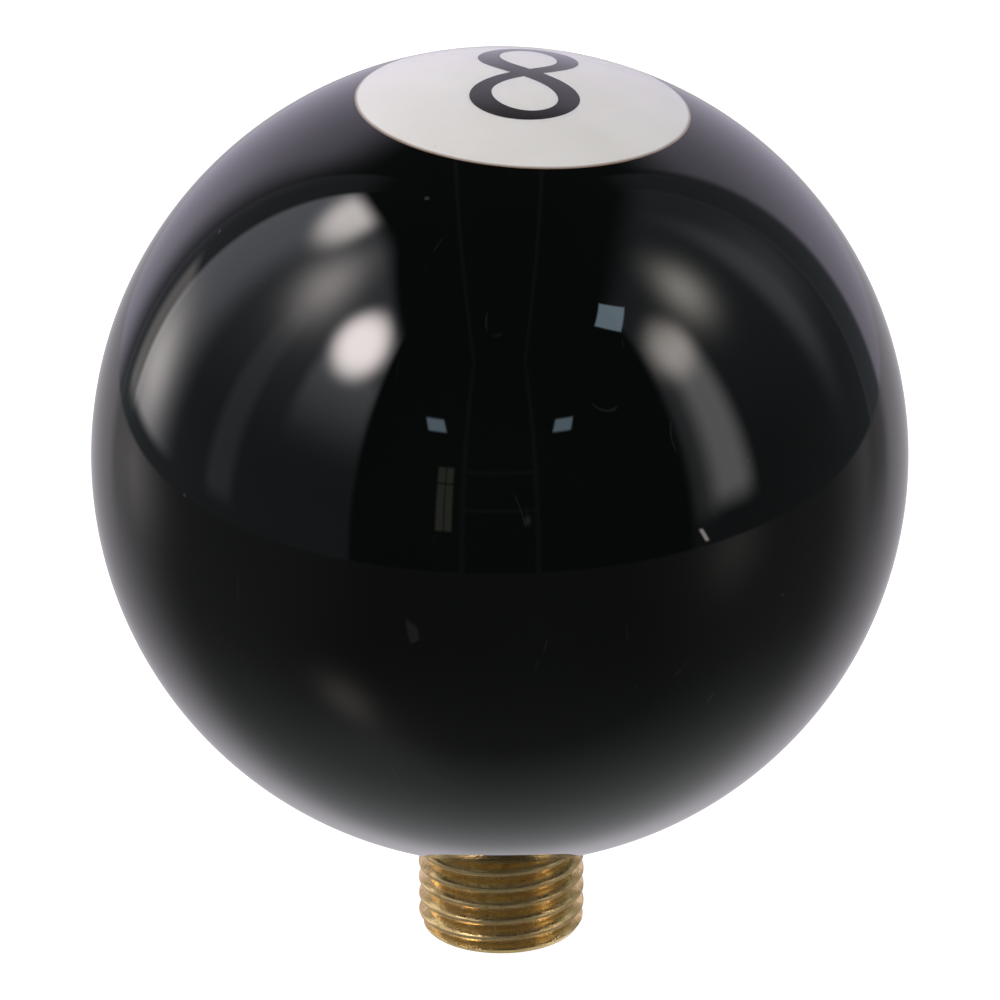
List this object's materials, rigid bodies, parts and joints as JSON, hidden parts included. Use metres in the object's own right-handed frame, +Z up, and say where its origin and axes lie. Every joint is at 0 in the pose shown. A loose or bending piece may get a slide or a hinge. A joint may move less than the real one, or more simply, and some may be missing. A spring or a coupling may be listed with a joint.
{
  "type": "gear lever knob",
  "caption": "Gloss black pool ball made into a gear lever knob, with a white number disc let into its top and a threaded brass bush underneath.",
  "frame": {"origin": "centre of the adaptor bush's lower end face, on the thread axis", "axes": "+Z up along the thread axis towards the number disc; +X to the right of the figure 8 as it is read; +Y towards the top of the figure"},
  "size_m": [0.0572, 0.0572, 0.0646],
  "materials": {
    "black_resin": "polished cast phenolic resin",
    "white_resin": "polished cast phenolic resin",
    "numeral_resin": "polished cast phenolic resin",
    "zinc_steel": "zinc plated, turned",
    "turned_brass": "turned, slightly tarnished"
  },
  "bodies": {
    "bush": {"adaptor_bush": "turned_brass"},
    "socket": {"socket_insert": "zinc_steel"},
    "ball": {"ball_body": "black_resin", "number_disc": "white_resin", "numeral_eight": "numeral_resin"}
  },
  "joints": [
    {"name": "ball_rise", "type": "slide", "parent": "bush", "child": "socket", "axis": [0, 0, 1], "range_m": [0, 0.01063]},
    {"name": "ball_turn", "type": "hinge", "parent": "socket", "child": "ball", "pos_m": [0, 0, 0.03605], "axis": [0, 0, 1], "range_deg": [0, 3060]}
  ],
  "couplings": [
    {"joint": "ball_rise", "follows": "ball_turn", "m_per_rad": 0.00019894}
  ]
}
